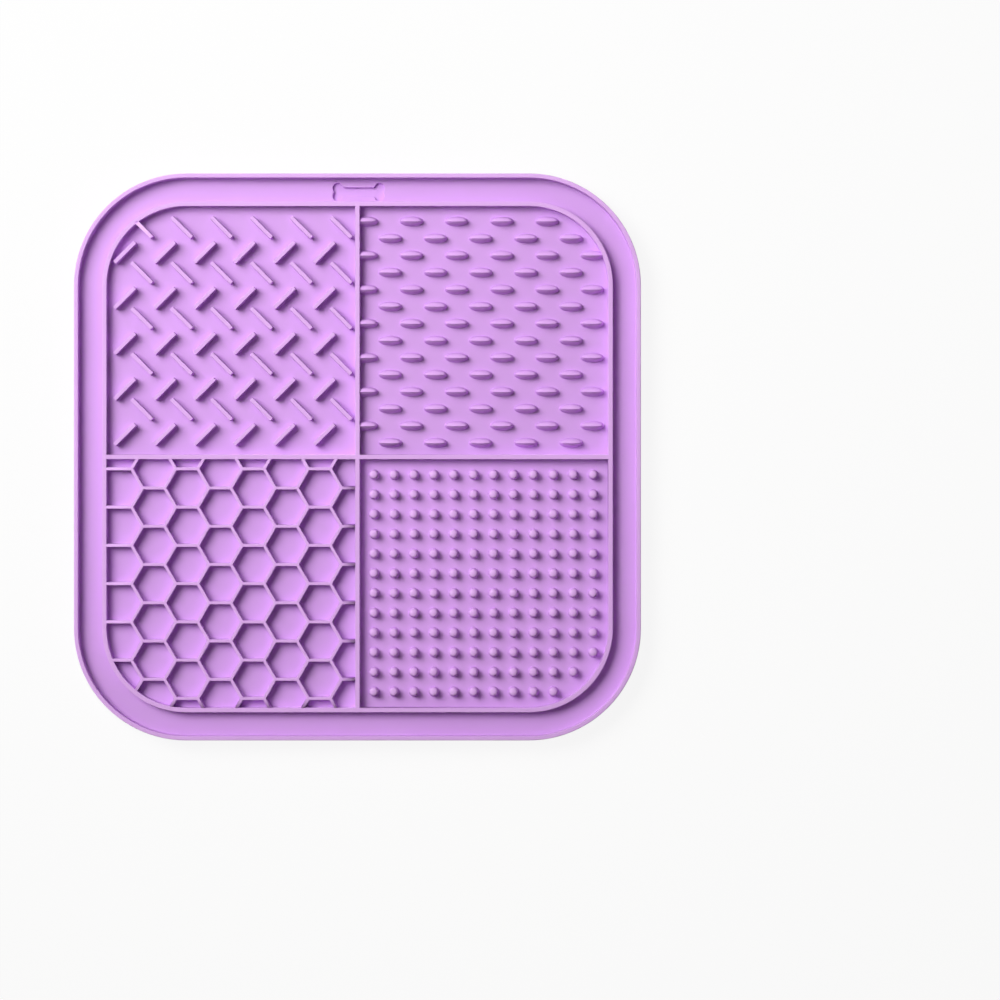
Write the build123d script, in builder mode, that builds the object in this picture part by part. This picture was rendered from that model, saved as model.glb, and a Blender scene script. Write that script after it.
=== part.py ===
from build123d import *
from math import atan2, degrees, floor, hypot, radians, sqrt, tan
import os

# Square lick mat of soft silicone: a thin sheet with a rim, a drip channel, four walled fields of
# bumps and ribs for spreading food on, and suction cups under it.
# Millimetres, +Z up. The origin is under the mat's centre, on the surface that the cups hold.
# Seen from above, +X is to the right and +Y towards the bone-shaped recess.

# Sheet
mat_side = 200.0
corner_radius = 39.5
sheet_thickness = 2.0

# Rim, drip channel, inner wall and dividers
rim_width = 1.5
rim_height = 4.0
channel_width = 8.4
wall_width = 1.6
wall_height = 4.0
divider_width = 1.6
edge_chamfer = 0.4

# Bone-shaped recess in the channel
bone_length = 18.0
bone_height = 6.4
bone_lobe_radius = 1.8
bone_shaft_width = 2.9
bone_depth = 0.9
bone_wall_gap = 0.4

# Herringbone field: distances from the divider faces to the first bar's centre, then the pitches
bar_length = 10.2
bar_width = 1.4
bar_height = 4.0
bar_chamfer = 0.25
bar_angle = 45.0
bar_column_pitch = 14.07
bar_row_pitch = 16.06
rising_bar_start = (10.95, 7.15)
falling_bar_start = (4.95, 16.0)

# Grain field: rows of almond-shaped bumps, every second row shifted along
grain_length = 8.6
grain_width = 3.2
grain_shoulder_length = 3.8
grain_height = 3.9
grain_side_height = 2.5
grain_side_taper = 8.5
grain_crest_width = 0.6
grain_column_pitch = 15.97
grain_row_pitch = 6.02
grain_row_start = 4.4
grain_column_starts = (10.9, 2.4)

# Honeycomb field
cell_pitch = 13.5
cell_rib_width = 1.1
cell_column_start = 0.95
cell_row_start = 3.4

# Dot field
dot_diameter = 3.4
dot_height = 3.9
dot_side_height = 3.5
dot_side_taper = 5.0
dot_facets = 8
dot_column_pitch = 7.04
dot_row_pitch = 6.97
dot_column_start = 5.06
dot_row_start = 5.46
dot_wall_gap = 0.1

# Suction cups
cup_diameter = 20.0
cup_height = 3.5
cup_neck_diameter = 9.0
cup_neck_height = 1.0
cup_lip_width = 0.7
cup_hollow_depth = 1.8
cup_hollow_top_diameter = 6.0
cup_facets = 24
cup_edge_gap = 26.0
cups_per_side = 3

# Levels and outlines that follow from the sizes above
floor_level = cup_height + sheet_thickness
rim_inner_side = mat_side - 2 * rim_width
wall_outer_side = rim_inner_side - 2 * channel_width
wall_inner_side = wall_outer_side - 2 * wall_width
rim_inner_radius = corner_radius - rim_width
wall_outer_radius = rim_inner_radius - channel_width
wall_inner_radius = wall_outer_radius - wall_width
half_divider = divider_width / 2
field_side = wall_inner_side / 2 - half_divider
floor_plane = Plane.XY.offset(floor_level)

os.makedirs("parts", exist_ok=True)


def save(builder, name):
    """Label a finished piece and write it under its own name."""
    builder.part.label = name
    export_step(builder.part, f"parts/{name}.step")


def steps(start, pitch, overhang=0):
    """Distances from a divider's face, one pitch apart, up to an overhang past the field's far side."""
    count = floor((field_side + overhang - start) / pitch) + 1
    return [start + index * pitch for index in range(count)]


def from_dividers(side_x, side_y, along, across):
    """Turn distances from the two divider faces into a point of the field on that side."""
    return (side_x * (half_divider + along), side_y * (half_divider + across))


def within_wall(point, margin):
    """Tell whether a point lies at least a margin inside the inner wall's rounded square."""
    straight = wall_inner_side / 2 - wall_inner_radius
    past_x = max(abs(point[0]) - straight, 0)
    past_y = max(abs(point[1]) - straight, 0)
    return hypot(past_x, past_y) <= wall_inner_radius - margin


def draw_field(side_x, side_y):
    """Draw the outline of one field, between the dividers and the inner wall, in the open sketch."""
    RectangleRounded(wall_inner_side, wall_inner_side, wall_inner_radius)
    with Locations(from_dividers(side_x, side_y, field_side / 2, field_side / 2)):
        Rectangle(field_side, field_side, mode=Mode.INTERSECT)


# Sheet, with the bone-shaped recess beside the inner wall
with BuildPart() as base_sheet:
    with BuildSketch(Plane.XY.offset(cup_height)):
        RectangleRounded(mat_side, mat_side, corner_radius)
    extrude(amount=sheet_thickness)
    with BuildSketch(floor_plane):
        with Locations((0, wall_outer_side / 2 + bone_wall_gap + bone_height / 2)):
            Rectangle(bone_length - 2 * bone_lobe_radius, bone_shaft_width)
            with GridLocations(
                bone_length - 2 * bone_lobe_radius, bone_height - 2 * bone_lobe_radius, 2, 2
            ):
                Circle(bone_lobe_radius)
    extrude(amount=-bone_depth, mode=Mode.SUBTRACT)
save(base_sheet, "base_sheet")

# Rim along the edge of the sheet
with BuildPart() as outer_rim:
    with BuildSketch(floor_plane):
        RectangleRounded(mat_side, mat_side, corner_radius)
        RectangleRounded(rim_inner_side, rim_inner_side, rim_inner_radius, mode=Mode.SUBTRACT)
    extrude(amount=rim_height)
    chamfer(outer_rim.faces().sort_by(Axis.Z)[-1].edges(), length=edge_chamfer)
save(outer_rim, "outer_rim")

# Inner wall: its channel edge is eased, its field edge stays square where ribs and dividers meet it
with BuildPart() as inner_wall:
    with BuildSketch(floor_plane):
        RectangleRounded(wall_outer_side, wall_outer_side, wall_outer_radius)
        RectangleRounded(wall_inner_side, wall_inner_side, wall_inner_radius, mode=Mode.SUBTRACT)
    extrude(amount=wall_height)
    chamfer(inner_wall.faces().sort_by(Axis.Z)[-1].outer_wire().edges(), length=edge_chamfer)
save(inner_wall, "inner_wall")

# Dividers: a long one across the walled square and a short one on each side of it
with BuildPart() as long_divider:
    with BuildSketch(floor_plane):
        Rectangle(divider_width, wall_inner_side)
    extrude(amount=wall_height)
save(long_divider, "long_divider")

for name, side in (("left_divider", -1), ("right_divider", 1)):
    with BuildPart() as short_divider:
        with BuildSketch(floor_plane):
            with Locations((side * (half_divider + field_side / 2), 0)):
                Rectangle(field_side, divider_width)
        extrude(amount=wall_height)
    save(short_divider, name)

# Herringbone field: two sets of slanted bars, trimmed where one runs into the inner wall
bar_sets = (("rising_bars", rising_bar_start, bar_angle), ("falling_bars", falling_bar_start, -bar_angle))
for name, (along_start, across_start), angle in bar_sets:
    spots = [
        from_dividers(-1, 1, along, across)
        for along in steps(along_start, bar_column_pitch)
        for across in steps(across_start, bar_row_pitch)
    ]
    with BuildPart() as bars:
        with BuildSketch(floor_plane):
            with Locations(*[spot for spot in spots if within_wall(spot, bar_width)]):
                Rectangle(bar_length, bar_width, rotation=angle)
        extrude(amount=bar_height)
        chamfer(bars.faces().group_by(Axis.Z)[-1].edges(), length=bar_chamfer)
        with BuildSketch(floor_plane):
            draw_field(-1, 1)
        extrude(amount=bar_height, mode=Mode.INTERSECT)
    save(bars, name)

# One grain: an almond with steep sides and a roof that leans in to a narrow crest
half_shoulder = grain_shoulder_length / 2
grain_roof_height = grain_height - grain_side_height
grain_lean = grain_side_height * tan(radians(grain_side_taper))
grain_roof_width = grain_width - 2 * grain_lean
grain_roof_taper = degrees(atan2((grain_roof_width - grain_crest_width) / 2, grain_roof_height))
with BuildPart() as grain:
    with BuildSketch(floor_plane):
        Polygon(
            (grain_length / 2, 0),
            (half_shoulder, grain_width / 2),
            (-half_shoulder, grain_width / 2),
            (-grain_length / 2, 0),
            (-half_shoulder, -grain_width / 2),
            (half_shoulder, -grain_width / 2),
        )
    extrude(amount=grain_side_height, taper=grain_side_taper)
    extrude(grain.faces().sort_by(Axis.Z)[-1], amount=grain_roof_height, taper=grain_roof_taper)

# Grain field: rows of grains, trimmed by the divider and the wall
grain_spots = [
    from_dividers(1, 1, along, across)
    for row, across in enumerate(steps(grain_row_start, grain_row_pitch))
    for along in steps(grain_column_starts[row % 2], grain_column_pitch)
]
with BuildPart() as grain_bumps:
    with Locations(*[spot for spot in grain_spots if within_wall(spot, grain_width / 2)]):
        add(grain.part)
    with BuildSketch(floor_plane):
        draw_field(1, 1)
    extrude(amount=grain_height, mode=Mode.INTERSECT)
save(grain_bumps, "grain_bumps")

# Honeycomb field: the field's outline with six-sided cells left open, also where only part of one fits
cell_reach = cell_pitch / 2 - cell_rib_width
cell_column_pitch = cell_pitch * sqrt(3) / 2
cell_columns = [
    [
        from_dividers(-1, -1, along, across)
        for across in steps(cell_row_start - cell_pitch / 2 * (column % 2), cell_pitch, cell_reach)
    ]
    for column, along in enumerate(steps(cell_column_start, cell_column_pitch, cell_reach))
]
cell_height = cell_pitch - cell_rib_width
with BuildPart() as honeycomb_ribs:
    with BuildSketch(floor_plane):
        draw_field(-1, -1)
        with Locations(*[spot for column in cell_columns for spot in column]):
            RegularPolygon(cell_height / 2, 6, major_radius=False, mode=Mode.SUBTRACT)
        # The ribs of the last column run straight on into the wall
        with Locations(*cell_columns[-1]):
            Rectangle(cell_pitch, cell_height, align=(Align.MAX, Align.CENTER), mode=Mode.SUBTRACT)
    extrude(amount=wall_height)
save(honeycomb_ribs, "honeycomb_ribs")

# One dot: a round nub with leaning sides and a low crown
with BuildPart() as dot:
    with BuildSketch(floor_plane):
        RegularPolygon(dot_diameter / 2, dot_facets)
    extrude(amount=dot_side_height, taper=dot_side_taper)
    loft([dot.faces().sort_by(Axis.Z)[-1], Vertex(0, 0, floor_level + dot_height)], ruled=True)

# Dot field: a grid of dots, left out where the wall's corner leaves no room for a whole one
dot_spots = [
    from_dividers(1, -1, along, across)
    for along in steps(dot_column_start, dot_column_pitch)
    for across in steps(dot_row_start, dot_row_pitch)
]
with BuildPart() as dot_nubs:
    with Locations(*[spot for spot in dot_spots if within_wall(spot, dot_diameter / 2 + dot_wall_gap)]):
        add(dot.part)
save(dot_nubs, "dot_nubs")

# Suction cups: a flared skirt under a short neck, with a flat lip and a hollow inside it
cup_radius = cup_diameter / 2
cup_mouth_radius = cup_radius - cup_lip_width
skirt_height = cup_height - cup_neck_height
skirt_taper = degrees(atan2(cup_radius - cup_neck_diameter / 2, skirt_height))
hollow_taper = degrees(atan2(cup_mouth_radius - cup_hollow_top_diameter / 2, cup_hollow_depth))
cup_pitch = (mat_side - 2 * cup_edge_gap - cup_diameter) / (cups_per_side - 1)
cup_spots = GridLocations(cup_pitch, cup_pitch, cups_per_side, cups_per_side)
for number, spot in enumerate(cup_spots, start=1):
    with BuildPart() as suction_cup:
        with BuildSketch(Plane(spot.position)):
            RegularPolygon(cup_radius, cup_facets)
        extrude(amount=skirt_height, taper=skirt_taper)
        extrude(suction_cup.faces().sort_by(Axis.Z)[-1], amount=cup_neck_height)
        with BuildSketch(Plane(spot.position)):
            RegularPolygon(cup_mouth_radius, cup_facets)
        extrude(amount=cup_hollow_depth, taper=hollow_taper, mode=Mode.SUBTRACT)
    save(suction_cup, f"suction_cup_{number}")
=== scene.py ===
"""Silicone lick mat: moulded pieces, silicone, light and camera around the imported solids."""

import logging
from collections.abc import Iterable
from dataclasses import dataclass
from enum import Enum
from math import atan2, cos, hypot, pi, radians, sin, sqrt, tan

import bmesh
import bpy
from bmesh.types import BMesh, BMEdge, BMFace, BMVert
from mathutils import Matrix, Vector

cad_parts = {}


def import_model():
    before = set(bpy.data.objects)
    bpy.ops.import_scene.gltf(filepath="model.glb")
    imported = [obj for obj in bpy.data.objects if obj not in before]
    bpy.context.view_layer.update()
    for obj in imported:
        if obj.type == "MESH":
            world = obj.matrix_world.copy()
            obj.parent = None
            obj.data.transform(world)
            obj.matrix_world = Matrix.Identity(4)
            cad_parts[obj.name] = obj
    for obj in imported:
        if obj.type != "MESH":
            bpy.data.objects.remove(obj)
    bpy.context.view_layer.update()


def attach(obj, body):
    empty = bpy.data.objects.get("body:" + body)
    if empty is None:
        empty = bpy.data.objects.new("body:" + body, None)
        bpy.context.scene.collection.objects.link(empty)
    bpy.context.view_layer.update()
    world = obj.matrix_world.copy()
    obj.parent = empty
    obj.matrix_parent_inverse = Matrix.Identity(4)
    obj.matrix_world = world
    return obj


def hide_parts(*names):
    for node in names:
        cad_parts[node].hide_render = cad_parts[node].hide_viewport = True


log = logging.getLogger("lick_mat")

MM = 0.001
# Distances in a drawing, in millimetres, below which two points count as one
CUT_TOLERANCE = 1e-5
MERGE_DISTANCE = 1e-4
FOLD_SNAP = 1e-3
OUTLINE_SNAP = 0.01

BODY = "root"

Point = tuple[float, float]
Plane = tuple[Vector, Vector]


@dataclass(frozen=True)
class Band:
    """One band of a moulded side: how far it draws in and how far it climbs, in millimetres."""

    inward: float
    climb: float


class Start(Enum):
    """How the first band of a fillet lies."""

    FLAT = "flat"
    STEEP = "steep"


class Way(Enum):
    """Whether a fillet climbs or sinks as it draws in."""

    UP = 1
    DOWN = -1


class Shading(Enum):
    """How the light runs over the faces of a piece."""

    FLAT_TOPPED = "flat topped"
    ROUNDED = "rounded"


def fillet(radius: float, start: Start, way: Way, count: int = 3) -> list[Band]:
    """Split a quarter-round fillet into bands.

    Args:
        radius: Fillet radius in millimetres.
        start: Whether the first band lies nearly flat or stands nearly upright.
        way: Whether the fillet climbs or sinks.
        count: Bands in the quarter turn.

    Returns:
        The bands, in the order in which they draw in.
    """
    turns = [pi / 2 * step / count for step in range(count + 1)]
    bands = []
    for before, after in zip(turns, turns[1:]):
        by_sine = radius * (sin(after) - sin(before))
        by_cosine = radius * (cos(before) - cos(after))
        inward, climb = (by_sine, by_cosine) if start is Start.FLAT else (by_cosine, by_sine)
        bands.append(Band(inward, climb * way.value))
    return bands


def draw_bands(bm: BMesh, faces: list[BMFace], bands: Iterable[Band]) -> None:
    """Draw flat faces in and up or down, band after band, as the side of a mould does.

    Args:
        bm: Mesh that holds the faces.
        faces: Level faces that stay on top of the bands.
        bands: Bands from the outside in.
    """
    for band in bands:
        bmesh.ops.inset_region(
            bm, faces=faces, use_boundary=True, use_even_offset=True, thickness=band.inward
        )
        corners = list({vert for face in faces for vert in face.verts})
        bmesh.ops.translate(bm, verts=corners, vec=(0, 0, band.climb))


def rib_bands(height: float, edge_radius: float, root_radius: float, draft: float) -> list[Band]:
    """List the bands of a rib that stands on the sheet.

    Args:
        height: Height of the rib above the sheet.
        edge_radius: Rounding along its top.
        root_radius: Fillet at its foot.
        draft: How far its side leans in, so that it leaves the mould.

    Returns:
        The bands from the foot to the top.
    """
    return [
        *fillet(root_radius, Start.FLAT, Way.UP, 2),
        Band(draft, height - root_radius - edge_radius),
        *fillet(edge_radius, Start.STEEP, Way.UP, 2),
    ]


def thicken(bm: BMesh, faces: list[BMFace], height: float) -> list[BMFace]:
    """Extrude level faces straight up into a closed slab.

    Args:
        bm: Mesh that holds the faces.
        faces: Level faces, which become the underside.
        height: Height of the slab in millimetres.

    Returns:
        The top faces of the slab.
    """
    made = bmesh.ops.extrude_face_region(bm, geom=faces)["geom"]
    lifted = [part for part in made if isinstance(part, BMVert)]
    bmesh.ops.translate(bm, verts=lifted, vec=(0, 0, height))
    return [part for part in made if isinstance(part, BMFace)]


def round_corners(bm: BMesh, corners: list[BMVert], radius: float, count: int) -> None:
    """Round corners of flat outlines.

    Args:
        bm: Mesh that holds the outlines.
        corners: Corners to round.
        radius: Distance from the corner to the end of its arc, in millimetres.
        count: Straight pieces in each arc.
    """
    bmesh.ops.bevel(
        bm,
        geom=corners,
        offset=radius,
        offset_type="OFFSET",
        segments=count,
        profile=0.5,
        affect="VERTICES",
        clamp_overlap=True,
        material=-1,
    )


def lay_plate(bm: BMesh, centre: Point, half: Point, level: float, turn: float = 0.0) -> list[BMVert]:
    """Lay a level rectangle.

    Args:
        bm: Mesh to draw in.
        centre: Middle of the rectangle.
        half: Half of its length and width.
        level: Height that it lies at.
        turn: Turn about the vertical, in radians.

    Returns:
        The four corners.
    """
    place = Matrix.Translation((*centre, level)) @ Matrix.Rotation(turn, 4, "Z")
    shape = Matrix.Diagonal((*half, 1.0, 1.0))
    return bmesh.ops.create_grid(bm, x_segments=1, y_segments=1, size=1, matrix=place @ shape)["verts"]


def join_drawing(bm: BMesh, other: BMesh) -> list[BMFace]:
    """Move everything in one drawing into another.

    Args:
        bm: Drawing that grows.
        other: Drawing that is used up.

    Returns:
        The faces that came in.
    """
    mesh = bpy.data.meshes.new("drawing")
    other.to_mesh(mesh)
    other.free()
    known = set(bm.faces)
    bm.from_mesh(mesh)
    bpy.data.meshes.remove(mesh)
    return [face for face in bm.faces if face not in known]


def trim(bm: BMesh, planes: Iterable[Plane], fill: bool) -> None:
    """Cut away what lies outside a set of planes.

    Args:
        bm: Mesh to cut.
        planes: A point and an outward direction for each plane.
        fill: Whether the cut is closed with faces.
    """
    for point, outward in planes:
        everything = bm.verts[:] + bm.edges[:] + bm.faces[:]
        cut = bmesh.ops.bisect_plane(
            bm, geom=everything, dist=CUT_TOLERANCE, plane_co=point, plane_no=outward, clear_outer=True
        )["geom_cut"]
        if fill:
            rims = [part for part in cut if isinstance(part, BMEdge)]
            bmesh.ops.holes_fill(bm, edges=rims, sides=0)


def finish_piece(
    bm: BMesh,
    name: str,
    nodes: Iterable[str],
    material: bpy.types.Material,
    shading: Shading = Shading.FLAT_TOPPED,
) -> bpy.types.Object:
    """Turn a drawing in millimetres into a finished piece of the mat.

    Args:
        bm: Closed mesh in millimetres, which is used up.
        name: Name of the piece.
        nodes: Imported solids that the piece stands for.
        material: Finish of the whole piece.
        shading: Whether its large faces look flat or run into each other.

    Returns:
        The finished object, at the origin.
    """
    bmesh.ops.remove_doubles(bm, verts=bm.verts[:], dist=MERGE_DISTANCE)
    bmesh.ops.recalc_face_normals(bm, faces=bm.faces[:])
    bmesh.ops.scale(bm, verts=bm.verts[:], vec=(MM, MM, MM))
    for face in bm.faces:
        face.smooth = True
    mesh = bpy.data.meshes.new(name)
    bm.to_mesh(mesh)
    bm.free()
    mesh.materials.append(material)
    piece = bpy.data.objects.new(name, mesh)
    bpy.context.scene.collection.objects.link(piece)
    if shading is Shading.FLAT_TOPPED:
        level_out = piece.modifiers.new("flat_faces_stay_flat", "WEIGHTED_NORMAL")
        level_out.mode = "FACE_AREA"
        level_out.weight = 50
        level_out.keep_sharp = True
    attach(piece, BODY)
    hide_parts(*nodes)
    return piece


def srgb(code: str) -> tuple[float, float, float, float]:
    """Turn an sRGB hex colour into the linear values that a socket takes."""
    channels = [int(code[place : place + 2], 16) / 255 for place in (1, 3, 5)]
    linear = [c / 12.92 if c <= 0.04045 else ((c + 0.055) / 1.055) ** 2.4 for c in channels]
    return (*linear, 1.0)


def add_node(
    tree: bpy.types.NodeTree,
    kind: str,
    values: dict[str | int, object] | None = None,
    links: dict[str | int, bpy.types.NodeSocket] | None = None,
    **settings: object,
) -> bpy.types.Node:
    """Add one node with its settings, values and links.

    Args:
        tree: Node tree to add to.
        kind: Blender's name for the node's type.
        values: Constant values by socket.
        links: Sockets to link from, by the new node's socket.
        settings: The node's own settings.

    Returns:
        The new node.
    """
    node = tree.nodes.new(kind)
    for key, value in settings.items():
        setattr(node, key, value)
    for key, value in (values or {}).items():
        node.inputs[key].default_value = value
    for key, socket in (links or {}).items():
        tree.links.new(socket, node.inputs[key])
    return node


def background_rays(tree: bpy.types.NodeTree) -> bpy.types.NodeSocket:
    """Find the rays that see a background: straight, in a gloss or through a clear piece.

    Args:
        tree: Node tree of the background.

    Returns:
        A socket that is 1 for such rays and 0 for light that falls on the object.
    """
    path = add_node(tree, "ShaderNodeLightPath")
    seen = path.outputs["Is Camera Ray"]
    for other in ("Is Glossy Ray", "Is Transmission Ray"):
        links = {0: seen, 1: path.outputs[other]}
        seen = add_node(tree, "ShaderNodeMath", links=links, operation="MAXIMUM").outputs[0]
    return seen


@dataclass(frozen=True)
class MouldedSilicone:
    """Pigmented silicone rubber, compression moulded in a spark-eroded steel mould.

    The fine eroded texture breaks up every highlight, so the rubber looks satin and soft. Light enters it
    a little way and comes out again at thin places. The paleness this gives the tops of ribs and nubs is
    painted light: a paler tint in the colour that rises with height.
    """

    tint_pale: str = "#DBA9EE"
    tint_deep: str = "#D5A1E8"
    # Painted light: a paler tint, and the heights it rises between, that make the tops of ribs and nubs
    # look lit
    tint_painted_top_light: str = "#E9B6FA"
    painted_light_start: float = 6.3
    painted_light_end: float = 9.0
    cloud_size: float = 26.0
    grain_size: float = 0.55
    grain_depth: float = 0.012
    roughness_low: float = 0.46
    roughness_high: float = 0.58
    ior: float = 1.41
    scatter_weight: float = 0.04
    scatter_depth: float = 0.7
    scatter_tint: tuple[float, float, float] = (1.0, 0.6, 1.0)

    def make(self) -> bpy.types.Material:
        """Build the material's nodes."""
        material = bpy.data.materials.new("silicone_rubber_moulded_satin")
        material.use_nodes = True
        tree = material.node_tree
        tree.nodes.clear()
        place = add_node(tree, "ShaderNodeTexCoord").outputs["Object"]
        # Pigment lies a little unevenly, in clouds a few centimetres across
        cloud = add_node(
            tree,
            "ShaderNodeTexNoise",
            {"Scale": 1 / (self.cloud_size * MM), "Detail": 3.0, "Roughness": 0.55},
            {"Vector": place},
        )
        colour = add_node(
            tree,
            "ShaderNodeMix",
            {6: srgb(self.tint_deep), 7: srgb(self.tint_pale)},
            {0: cloud.outputs["Fac"]},
            data_type="RGBA",
        )
        # Painted light: the colour turns paler with height, so ribs and nubs look lit towards their tops,
        # as light leaving thin silicone would make them
        level = add_node(tree, "ShaderNodeSeparateXYZ", links={"Vector": place})
        crest = add_node(
            tree,
            "ShaderNodeMapRange",
            {"From Min": self.painted_light_start * MM, "From Max": self.painted_light_end * MM},
            {"Value": level.outputs["Z"]},
            interpolation_type="SMOOTHSTEP",
        )
        colour = add_node(
            tree,
            "ShaderNodeMix",
            {7: srgb(self.tint_painted_top_light)},
            {0: crest.outputs["Result"], 6: colour.outputs[2]},
            data_type="RGBA",
        )
        # The eroded grain of the mould is finer than a pixel, so it is drawn coarser to show
        grain = add_node(
            tree,
            "ShaderNodeTexNoise",
            {"Scale": 1 / (self.grain_size * MM), "Detail": 2.0, "Roughness": 0.6},
            {"Vector": place},
        )
        gloss = add_node(
            tree,
            "ShaderNodeMapRange",
            {"To Min": self.roughness_low, "To Max": self.roughness_high},
            {"Value": grain.outputs["Fac"]},
        )
        relief = add_node(
            tree,
            "ShaderNodeBump",
            {"Strength": 1.0, "Distance": self.grain_depth * MM},
            {"Height": grain.outputs["Fac"]},
        )
        rubber = add_node(
            tree,
            "ShaderNodeBsdfPrincipled",
            {
                "IOR": self.ior,
                "Subsurface Weight": self.scatter_weight,
                "Subsurface Radius": self.scatter_tint,
                "Subsurface Scale": self.scatter_depth * MM,
            },
            {
                "Base Color": colour.outputs[2],
                "Roughness": gloss.outputs["Result"],
                "Normal": relief.outputs["Normal"],
            },
        )
        add_node(tree, "ShaderNodeOutputMaterial", links={"Surface": rubber.outputs["BSDF"]})
        return material


@dataclass(frozen=True)
class MattePaper:
    """Uncoated white paper, pressed smooth.

    It has no highlight at all, so the eye sees only an even white and the soft shadow on it.
    """

    tint: str = "#F4F4F4"
    white: str = "#FFFFFF"
    glow: float = 0.9

    def make(self) -> bpy.types.Material:
        """Build the material's nodes."""
        material = bpy.data.materials.new("paper_white_matte")
        material.use_nodes = True
        tree = material.node_tree
        tree.nodes.clear()
        paper = add_node(tree, "ShaderNodeBsdfDiffuse", {"Color": srgb(self.tint)})
        # A share of plain white for the camera keeps the table white and its shadow faint
        bright = add_node(tree, "ShaderNodeEmission", {"Color": srgb(self.white), "Strength": 1.0})
        share = add_node(
            tree,
            "ShaderNodeMath",
            {1: self.glow},
            {0: background_rays(tree)},
            operation="MULTIPLY",
        )
        both = add_node(
            tree,
            "ShaderNodeMixShader",
            links={0: share.outputs[0], 1: paper.outputs[0], 2: bright.outputs[0]},
        )
        add_node(tree, "ShaderNodeOutputMaterial", links={"Surface": both.outputs[0]})
        return material


@dataclass(frozen=True)
class MatPlan:
    """Outlines and levels that all pieces of the mat share, in millimetres."""

    half_side: float = 100.0
    corner_radius: float = 39.5
    underside: float = 3.5
    floor: float = 5.5
    rim_top: float = 9.5
    wall_top: float = 9.5
    wall_outer_half: float = 90.1
    wall_inner_half: float = 88.5
    half_divider: float = 0.8
    rooting: float = 0.4
    corner_steps: int = 24

    @property
    def arc_centre(self) -> float:
        """Distance from the middle of the mat to the centre of a corner's arcs, along X and Y."""
        return self.half_side - self.corner_radius

    def field_planes(self, side: Point, shrink: float) -> list[Plane]:
        """Planes that bound one field.

        Args:
            side: Sign of X and Y in the field.
            shrink: Distance that every plane is moved into the field.

        Returns:
            A point and an outward direction for each divider, wall and corner step.
        """
        near = self.half_divider + shrink
        planes = [
            (Vector((side[0] * near, 0, 0)), Vector((-side[0], 0, 0))),
            (Vector((0, side[1] * near, 0)), Vector((0, -side[1], 0))),
        ]
        centre = Vector((side[0] * self.arc_centre, side[1] * self.arc_centre, 0))
        reach = self.wall_inner_half - self.arc_centre - shrink
        for step in range(self.corner_steps + 1):
            turn = pi / 2 * step / self.corner_steps
            outward = Vector((side[0] * cos(turn), side[1] * sin(turn), 0))
            planes.append((centre + outward * reach, outward))
        return planes

    def inside_wall(self, point: Point, margin: float) -> bool:
        """Tell whether a point lies at least a margin inside the inner wall."""
        past = [max(abs(value) - self.arc_centre, 0.0) for value in point]
        return hypot(*past) <= self.wall_inner_half - self.arc_centre - margin


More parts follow.
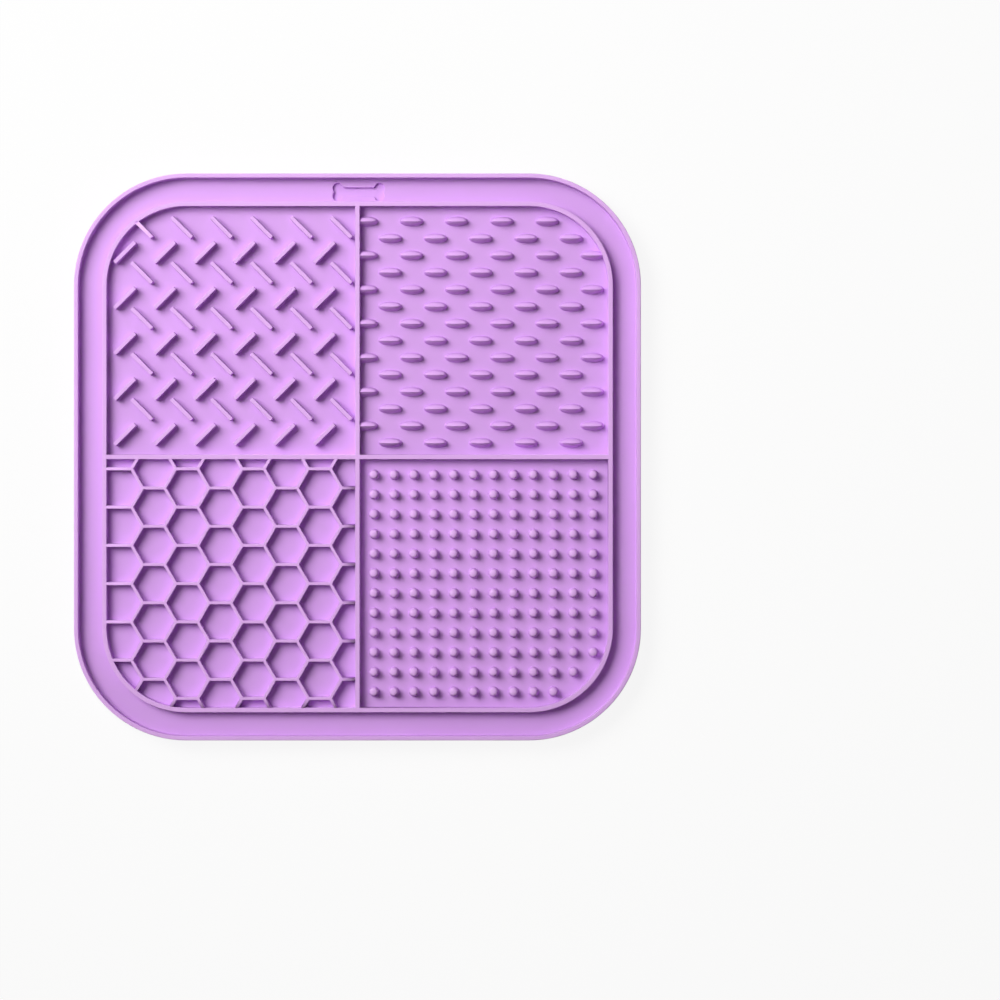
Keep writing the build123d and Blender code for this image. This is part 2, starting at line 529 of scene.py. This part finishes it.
@dataclass
class Tray:
    """The sheet with its raised rim, and the bone-shaped recess in the channel behind the rim."""

    plan: MatPlan
    rim_width: float = 1.5
    outer_edge_radius: float = 0.3
    inner_edge_radius: float = 0.2
    under_radius: float = 0.6
    root_radius: float = 0.3
    draft: float = 0.08
    bone_centre: Point = (0.3, 93.7)
    bone_half_shaft: float = 1.7
    bone_lobe: Point = (7.4, 1.42)
    bone_lobe_radius: float = 1.88
    bone_lobe_steps: int = 12
    bone_neck_rounding: float = 0.52
    bone_notch_rounding: float = 0.25
    bone_depth: float = 1.25
    bone_edge: float = 0.06
    bone_draft: float = 0.04

    def draw_bone(self) -> BMesh:
        """Draw the outline of the recess from a quarter of it: the arc of a lobe and half of the shaft."""
        bm = bmesh.new()
        across, up = self.bone_lobe
        shaft_rise = self.bone_half_shaft - up
        notch = bm.verts.new((across + sqrt(self.bone_lobe_radius**2 - up**2), 0.0, 0.0))
        notch_turn = atan2(-up, notch.co.x - across)
        neck_turn = pi - atan2(shaft_rise, sqrt(self.bone_lobe_radius**2 - shaft_rise**2))
        arc = bmesh.ops.spin(
            bm,
            geom=[notch],
            cent=(across, up, 0.0),
            axis=(0, 0, 1),
            angle=neck_turn - notch_turn,
            steps=self.bone_lobe_steps,
        )
        neck = next(part for part in arc["geom_last"] if isinstance(part, BMVert))
        bm.edges.new((neck, bm.verts.new((0.0, self.bone_half_shaft, 0.0))))
        for axis in ("X", "Y"):
            bmesh.ops.mirror(bm, geom=bm.verts[:] + bm.edges[:], axis=axis, merge_dist=OUTLINE_SNAP)
        bmesh.ops.remove_doubles(bm, verts=bm.verts[:], dist=OUTLINE_SNAP)
        bmesh.ops.contextual_create(bm, geom=bm.edges[:])
        notches = [vert for vert in bm.verts if abs(vert.co.y) < OUTLINE_SNAP]
        round_corners(bm, notches, self.bone_notch_rounding, 3)
        necks = [
            vert
            for vert in bm.verts
            if OUTLINE_SNAP < abs(vert.co.x) < across
            and abs(abs(vert.co.y) - self.bone_half_shaft) < OUTLINE_SNAP
        ]
        round_corners(bm, necks, self.bone_neck_rounding, 4)
        bmesh.ops.translate(bm, verts=bm.verts[:], vec=(*self.bone_centre, self.plan.floor))
        return bm

    def build(self, material: bpy.types.Material) -> bpy.types.Object:
        """Mould the sheet, rim and recess as one piece.

        Args:
            material: Silicone of the mat.

        Returns:
            The finished piece.
        """
        plan = self.plan
        bm = bmesh.new()
        start = plan.underside + self.under_radius
        corners = lay_plate(bm, (0, 0), (plan.half_side, plan.half_side), start)
        round_corners(bm, corners, plan.corner_radius, plan.corner_steps)
        under = bm.faces[:]
        top = thicken(bm, under, plan.rim_top - self.outer_edge_radius - start)
        draw_bands(bm, under, fillet(self.under_radius, Start.STEEP, Way.DOWN))
        drop = plan.rim_top - plan.floor - self.inner_edge_radius - self.root_radius
        rim = [
            *fillet(self.outer_edge_radius, Start.STEEP, Way.UP, 4),
            Band(self.rim_width - self.outer_edge_radius - self.inner_edge_radius, 0),
            *fillet(self.inner_edge_radius, Start.FLAT, Way.DOWN),
            Band(self.draft, -drop),
            *fillet(self.root_radius, Start.STEEP, Way.DOWN),
        ]
        draw_bands(bm, top, rim)
        outline = list(top[0].edges)
        bmesh.ops.delete(bm, geom=top, context="FACES_ONLY")
        bone = join_drawing(bm, self.draw_bone())
        bmesh.ops.triangle_fill(
            bm, use_beauty=True, edges=outline + list(bone[0].edges), normal=(0, 0, 1)
        )
        recess = [
            *fillet(self.bone_edge, Start.FLAT, Way.DOWN),
            Band(self.bone_draft, 2 * self.bone_edge - self.bone_depth),
            *fillet(self.bone_edge, Start.STEEP, Way.DOWN),
        ]
        draw_bands(bm, bone, recess)
        return finish_piece(bm, "sheet_and_rim", ("base_sheet", "outer_rim"), material)


@dataclass
class FieldWalls:
    """The inner wall round the four fields and the cross of dividers between them."""

    plan: MatPlan
    edge_radius: float = 0.09
    root_radius: float = 0.2
    draft: float = 0.02

    def build(self, material: bpy.types.Material) -> bpy.types.Object:
        """Mould the wall and the dividers as one piece.

        Args:
            material: Silicone of the mat.

        Returns:
            The finished piece.
        """
        plan = self.plan
        bm = bmesh.new()
        outer = plan.wall_outer_half + self.root_radius
        corners = lay_plate(bm, (0, 0), (outer, outer), plan.floor - plan.rooting)
        round_corners(bm, corners, outer - plan.arc_centre, plan.corner_steps)
        wall_width = plan.wall_outer_half - plan.wall_inner_half + 2 * self.root_radius
        draw_bands(bm, bm.faces[:], [Band(wall_width, 0)])
        reach = plan.half_divider + self.root_radius
        for axis in (Vector((1, 0, 0)), Vector((0, 1, 0))):
            for side in (-1, 1):
                everything = bm.verts[:] + bm.edges[:] + bm.faces[:]
                bmesh.ops.bisect_plane(
                    bm,
                    geom=everything,
                    dist=CUT_TOLERANCE,
                    plane_co=axis * side * reach,
                    plane_no=axis,
                )
        fields = [face for face in bm.faces if face.calc_area() > plan.wall_inner_half**2 / 2]
        bmesh.ops.delete(bm, geom=fields, context="FACES_ONLY")
        top = thicken(bm, bm.faces[:], plan.rooting)
        height = plan.wall_top - plan.floor
        draw_bands(bm, top, rib_bands(height, self.edge_radius, self.root_radius, self.draft))
        nodes = ("inner_wall", "long_divider", "left_divider", "right_divider")
        return finish_piece(bm, "wall_and_dividers", nodes, material)


@dataclass
class HoneycombField:
    """Ribs of six-sided cells, as high as the wall that they run into."""

    plan: MatPlan
    edge_radius: float = 0.09
    root_radius: float = 0.2
    draft: float = 0.02
    cell_pitch: float = 13.5
    rib_width: float = 1.1
    first_cell: Point = (-1.75, -4.2)
    columns: int = 8
    rows: int = 8
    flush_gap: float = 0.015
    depth_in_wall: float = 0.6

    def build(self, material: bpy.types.Material) -> bpy.types.Object:
        """Mould the ribs and trim them inside the wall and the dividers.

        Args:
            material: Silicone of the mat.

        Returns:
            The finished piece.
        """
        plan = self.plan
        bm = bmesh.new()
        for column in range(-1, self.columns):
            for row in range(-1, self.rows):
                x = self.first_cell[0] - column * self.cell_pitch * sqrt(3) / 2
                y = self.first_cell[1] - (row - column % 2 / 2) * self.cell_pitch
                place = Matrix.Translation((x, y, plan.floor - plan.rooting))
                bmesh.ops.create_circle(
                    bm,
                    cap_ends=True,
                    segments=6,
                    radius=self.cell_pitch / sqrt(3),
                    matrix=place @ Matrix.Rotation(pi / 6, 4, "Z"),
                )
        bmesh.ops.remove_doubles(bm, verts=bm.verts[:], dist=OUTLINE_SNAP)
        # The ribs of the last column run straight on into the wall
        last = self.first_cell[0] - (self.columns - 1) * self.cell_pitch * sqrt(3) / 2
        ends = [vert for vert in bm.verts if vert.co.x < last - self.cell_pitch / 4]
        bmesh.ops.translate(bm, verts=ends, vec=(-self.cell_pitch / 2, 0, 0))
        cells = bm.faces[:]
        bmesh.ops.inset_individual(
            bm, faces=cells, thickness=self.rib_width / 2 + self.root_radius, use_even_offset=True
        )
        bmesh.ops.delete(bm, geom=cells, context="FACES_ONLY")
        top = thicken(bm, bm.faces[:], plan.rooting)
        height = plan.wall_top - plan.floor - self.flush_gap
        draw_bands(bm, top, rib_bands(height, self.edge_radius, self.root_radius, self.draft))
        trim(bm, plan.field_planes((-1, -1), -self.depth_in_wall), fill=True)
        return finish_piece(bm, "honeycomb", ("honeycomb_ribs",), material)


@dataclass
class HerringboneField:
    """Slanted bars in two directions, which comb the food as it is licked out."""

    plan: MatPlan
    half_length: float = 5.1
    half_width: float = 0.7
    height: float = 4.0
    edge_radius: float = 0.1
    root_radius: float = 0.15
    draft: float = 0.02
    corner_rounding: float = 0.25
    column_pitch: float = 14.07
    row_pitch: float = 16.06
    columns: int = 6
    rows: int = 5
    rising_start: Point = (-11.75, 7.95)
    falling_start: Point = (-5.75, 16.8)
    slant: float = 45.0
    depth_in_wall: float = 0.6

    def build_set(
        self, name: str, node: str, start: Point, slant: float, material: bpy.types.Material
    ) -> bpy.types.Object:
        """Mould all bars that lean one way.

        Args:
            name: Name of the piece.
            node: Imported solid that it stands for.
            start: Middle of the first bar, next to both dividers.
            slant: Lean of the bars from X, in degrees.
            material: Silicone of the mat.

        Returns:
            The finished piece.
        """
        bm = bmesh.new()
        half = (self.half_length + self.root_radius, self.half_width + self.root_radius)
        for column in range(self.columns):
            for row in range(self.rows):
                spot = (start[0] - column * self.column_pitch, start[1] + row * self.row_pitch)
                if self.plan.inside_wall(spot, 2 * self.half_width):
                    lay_plate(bm, spot, half, self.plan.floor - self.plan.rooting, radians(slant))
        round_corners(bm, bm.verts[:], self.corner_rounding + self.root_radius, 3)
        top = thicken(bm, bm.faces[:], self.plan.rooting)
        draw_bands(bm, top, rib_bands(self.height, self.edge_radius, self.root_radius, self.draft))
        trim(bm, self.plan.field_planes((-1, 1), -self.depth_in_wall), fill=True)
        return finish_piece(bm, name, (node,), material)

    def build(self, material: bpy.types.Material) -> list[bpy.types.Object]:
        """Mould both sets of bars."""
        sets = (
            ("bars_rising", "rising_bars", self.rising_start, self.slant),
            ("bars_falling", "falling_bars", self.falling_start, -self.slant),
        )
        return [self.build_set(*one, material) for one in sets]


@dataclass(frozen=True)
class Oval:
    """One level outline of a grain: its half length, half width and height above the sheet."""

    half_length: float
    half_width: float
    level: float


@dataclass
class GrainField:
    """Rows of grains with steep sides and a sharp crest, every second row shifted along."""

    plan: MatPlan
    foot: Oval = Oval(4.2, 1.77, 0.0)
    shoulders: tuple[Oval, ...] = (Oval(3.56, 1.06, 2.68), Oval(3.48, 0.98, 2.82))
    roof_slope: float = 49.0
    crest_lean: float = 0.24
    column_pitch: float = 15.97
    row_pitch: float = 6.02
    rows: int = 14
    columns: int = 6
    first_row: float = 5.06
    row_starts: tuple[float, float] = (11.5, 3.0)
    rim_points: int = 24

    def mould_grain(self, bm: BMesh) -> list[BMVert | BMEdge | BMFace]:
        """Mould one grain in the middle of the mat, its top folded up to a crest along X.

        Args:
            bm: Empty mesh to draw in.

        Returns:
            All vertices, edges and faces of the grain.
        """
        plan = self.plan
        place = Matrix.Translation((0, 0, plan.floor - plan.rooting))
        oval = Matrix.Diagonal((self.foot.half_length, self.foot.half_width, 1.0, 1.0))
        bmesh.ops.create_circle(
            bm, cap_ends=True, segments=self.rim_points, radius=1.0, matrix=place @ oval
        )
        top = thicken(bm, bm.faces[:], plan.rooting)
        for below, above in zip((self.foot, *self.shoulders), self.shoulders):
            draw_bands(bm, top, [Band(0.0, above.level - below.level)])
            shrink = (above.half_length / below.half_length, above.half_width / below.half_width, 1.0)
            bmesh.ops.scale(bm, verts=top[0].verts[:], vec=shrink)
        draw_bands(bm, top, [Band(0.0, 0.0)])
        crest = top[0].verts[:]
        bmesh.ops.delete(bm, geom=top, context="FACES_ONLY")
        for side in (-1, 1):
            half = [vert for vert in crest if vert.co.y * side > FOLD_SNAP]
            climb = side * tan(radians(self.roof_slope))
            lean = -side * self.crest_lean
            fold = Matrix(((1, 0, 0, 0), (0, lean, 0, 0), (0, climb, 1, 0), (0, 0, 0, 1)))
            bmesh.ops.transform(bm, matrix=fold, verts=half)
        for edge in {edge for vert in crest for edge in vert.link_edges}:
            edge.smooth = any(vert not in crest for vert in edge.verts)
        bmesh.ops.remove_doubles(bm, verts=bm.verts[:], dist=FOLD_SNAP)
        return bm.verts[:] + bm.edges[:] + bm.faces[:]

    def build(self, material: bpy.types.Material) -> bpy.types.Object:
        """Mould all grains, trimmed where a divider or the wall stands.

        Args:
            material: Silicone of the mat.

        Returns:
            The finished piece.
        """
        plan = self.plan
        bm = bmesh.new()
        pattern = self.mould_grain(bm)
        for row in range(self.rows):
            for column in range(self.columns):
                spot = (
                    self.row_starts[row % 2] + column * self.column_pitch,
                    self.first_row + row * self.row_pitch,
                )
                if plan.inside_wall(spot, self.foot.half_width):
                    grain = bmesh.ops.duplicate(bm, geom=pattern)["geom"]
                    corners = [part for part in grain if isinstance(part, BMVert)]
                    bmesh.ops.translate(bm, verts=corners, vec=(*spot, 0))
        pattern_corners = [part for part in pattern if isinstance(part, BMVert)]
        bmesh.ops.delete(bm, geom=pattern_corners, context="VERTS")
        trim(bm, plan.field_planes((1, 1), -plan.rooting), fill=True)
        return finish_piece(bm, "grains", ("grain_bumps",), material)


@dataclass
class DotField:
    """A grid of round nubs with domed tops, in rows a little closer than the columns."""

    plan: MatPlan
    radius: float = 1.85
    height: float = 3.9
    draft: float = 0.5
    crown: tuple[Band, ...] = (Band(0.36, 0.2), Band(0.45, 0.11), Band(0.38, 0.03))
    first: Point = (5.76, -6.22)
    pitch: Point = (7.04, 6.97)
    count: int = 12
    wall_distance: float = 1.8
    rim_points: int = 16

    def build(self, material: bpy.types.Material) -> bpy.types.Object:
        """Mould all nubs.

        Args:
            material: Silicone of the mat.

        Returns:
            The finished piece.
        """
        plan = self.plan
        bm = bmesh.new()
        for column in range(self.count):
            for row in range(self.count):
                spot = (
                    self.first[0] + column * self.pitch[0],
                    self.first[1] - row * self.pitch[1],
                )
                if plan.inside_wall(spot, self.wall_distance):
                    bmesh.ops.create_circle(
                        bm,
                        cap_ends=True,
                        segments=self.rim_points,
                        radius=self.radius,
                        matrix=Matrix.Translation((*spot, plan.floor - plan.rooting)),
                    )
        top = thicken(bm, bm.faces[:], plan.rooting)
        side = Band(self.draft, self.height - sum(band.climb for band in self.crown))
        draw_bands(bm, top, [side, *self.crown])
        return finish_piece(bm, "dots", ("dot_nubs",), material, Shading.ROUNDED)


@dataclass
class SuctionCups:
    """Suction cups under the sheet: a flared skirt with a thin lip on a short neck.

    The skirt's points are measured in from the rim and up from the lip. The hollow's curve is given
    as shares of the mouth's radius and of the hollow's depth.
    """

    plan: MatPlan
    pitch: float = 64.0
    per_side: int = 3
    radius: float = 10.0
    lip: float = 0.7
    lip_height: float = 0.25
    skirt: tuple[Point, ...] = ((0.9, 0.85), (2.8, 1.6))
    neck_radius: float = 4.5
    neck_root: float = 5.1
    neck_flare: float = 0.5
    hollow: float = 1.8
    hollow_curve: tuple[Point, ...] = ((0.0, 1.0), (0.35, 0.93), (0.7, 0.6), (0.92, 0.2), (1.0, 0.0))
    steps: int = 40

    def build_cup(self, number: int, spot: Point, material: bpy.types.Material) -> bpy.types.Object:
        """Turn one cup about its own axis.

        Args:
            number: Number of the cup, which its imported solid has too.
            spot: Middle of the cup.
            material: Silicone of the mat.

        Returns:
            The finished piece.
        """
        top = self.plan.underside
        mouth = self.radius - self.lip
        profile = (
            *((mouth * reach, self.hollow * level) for reach, level in self.hollow_curve),
            (self.radius, 0.0),
            (self.radius, self.lip_height),
            *((self.radius - inward, level) for inward, level in self.skirt),
            (self.neck_radius + self.neck_flare, top - 2 * self.neck_flare),
            (self.neck_radius, top - self.neck_flare),
            (self.neck_root, top),
            (self.neck_root, top + self.plan.rooting),
            (0.0, top + self.plan.rooting),
        )
        bm = bmesh.new()
        points = [bm.verts.new((spot[0] + reach, spot[1], level)) for reach, level in profile]
        for first, second in zip(points, points[1:]):
            bm.edges.new((first, second))
        bmesh.ops.spin(
            bm,
            geom=bm.verts[:] + bm.edges[:],
            cent=(*spot, 0.0),
            axis=(0, 0, 1),
            angle=2 * pi,
            steps=self.steps,
            use_merge=True,
        )
        return finish_piece(bm, f"cup_{number}", (f"suction_cup_{number}",), material)

    def build(self, material: bpy.types.Material) -> list[bpy.types.Object]:
        """Turn all cups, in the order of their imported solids."""
        cups = []
        middle = (self.per_side - 1) / 2
        for column in range(self.per_side):
            for row in range(self.per_side):
                spot = ((column - middle) * self.pitch, (row - middle) * self.pitch)
                cups.append(self.build_cup(len(cups) + 1, spot, material))
        return cups


@dataclass
class Studio:
    """A pale table top, one large soft light from the upper left, and a camera straight above.

    Lengths are in millimetres, the lamp's power in watts and its spread in degrees.
    """

    table_half: float = 12000.0
    view_centre: Point = (50.3, -15.2)
    view_width: float = 352.7
    camera_distance: float = 1500.0
    sensor: float = 36.0
    key_distance: float = 1000.0
    key_size: float = 800.0
    key_power: float = 2.67
    key_direction: tuple[float, float, float] = (-0.764, 0.667, 1.0)
    key_aim: tuple[float, float, float] = (-78.0, 202.0, 0.0)
    key_spread: float = 60.0
    room_tint: str = "#FFEBD9"
    room_strength: float = 0.05
    backdrop: str = "#FFFFFF"

    def build_table(self, material: bpy.types.Material) -> bpy.types.Object:
        """Lay the table top, which looks white and keeps the mat's shadow.

        Args:
            material: Finish of the table.

        Returns:
            The table top.
        """
        bm = bmesh.new()
        bmesh.ops.create_grid(bm, x_segments=1, y_segments=1, size=self.table_half * MM)
        mesh = bpy.data.meshes.new("table_top")
        bm.to_mesh(mesh)
        bm.free()
        table = bpy.data.objects.new("table_top", mesh)
        bpy.context.scene.collection.objects.link(table)
        mesh.materials.append(material)
        return table

    def light(self) -> None:
        """Hang the soft key light and set the pale room."""
        scene = bpy.context.scene
        lamp = bpy.data.lights.new("key_softbox", "AREA")
        lamp.shape = "SQUARE"
        lamp.size = self.key_size * MM
        lamp.energy = self.key_power
        lamp.spread = radians(self.key_spread)
        key = bpy.data.objects.new("key_softbox", lamp)
        toward = Vector(self.key_direction).normalized()
        key.location = toward * (self.key_distance * MM)
        back = key.location - Vector(self.key_aim) * MM
        key.rotation_euler = back.to_track_quat("Z", "Y").to_euler()
        scene.collection.objects.link(key)
        world = bpy.data.worlds.new("pale_room")
        world.use_nodes = True
        tree = world.node_tree
        tree.nodes.clear()
        soft = add_node(
            tree,
            "ShaderNodeBackground",
            {"Color": srgb(self.room_tint), "Strength": self.room_strength},
        )
        white = add_node(
            tree, "ShaderNodeBackground", {"Color": srgb(self.backdrop), "Strength": 1.0}
        )
        both = add_node(
            tree,
            "ShaderNodeMixShader",
            links={0: background_rays(tree), 1: soft.outputs[0], 2: white.outputs[0]},
        )
        add_node(tree, "ShaderNodeOutputWorld", links={"Surface": both.outputs[0]})
        scene.world = world
        scene.view_settings.view_transform = "Standard"

    def aim_camera(self, plan: MatPlan) -> None:
        """Place the camera straight above, so that the mat lies left of the middle."""
        lens = bpy.data.cameras.new("camera")
        lens.sensor_width = self.sensor
        lens.lens = self.sensor * self.camera_distance / self.view_width
        camera = bpy.data.objects.new("camera", lens)
        height = self.camera_distance + plan.wall_top
        camera.location = Vector((*self.view_centre, height)) * MM
        bpy.context.scene.collection.objects.link(camera)
        bpy.context.scene.camera = camera


def main() -> None:
    """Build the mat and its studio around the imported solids."""
    logging.basicConfig(level=logging.INFO, format="%(name)s: %(message)s")
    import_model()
    plan = MatPlan()
    silicone = MouldedSilicone().make()
    pieces = [
        Tray(plan).build(silicone),
        FieldWalls(plan).build(silicone),
        HoneycombField(plan).build(silicone),
        *HerringboneField(plan).build(silicone),
        GrainField(plan).build(silicone),
        DotField(plan).build(silicone),
        *SuctionCups(plan).build(silicone),
    ]
    for piece in pieces:
        log.info("%s: %d faces", piece.name, len(piece.data.polygons))
    studio = Studio()
    studio.build_table(MattePaper().make())
    studio.light()
    studio.aim_camera(plan)


if __name__ == "__main__":
    main()
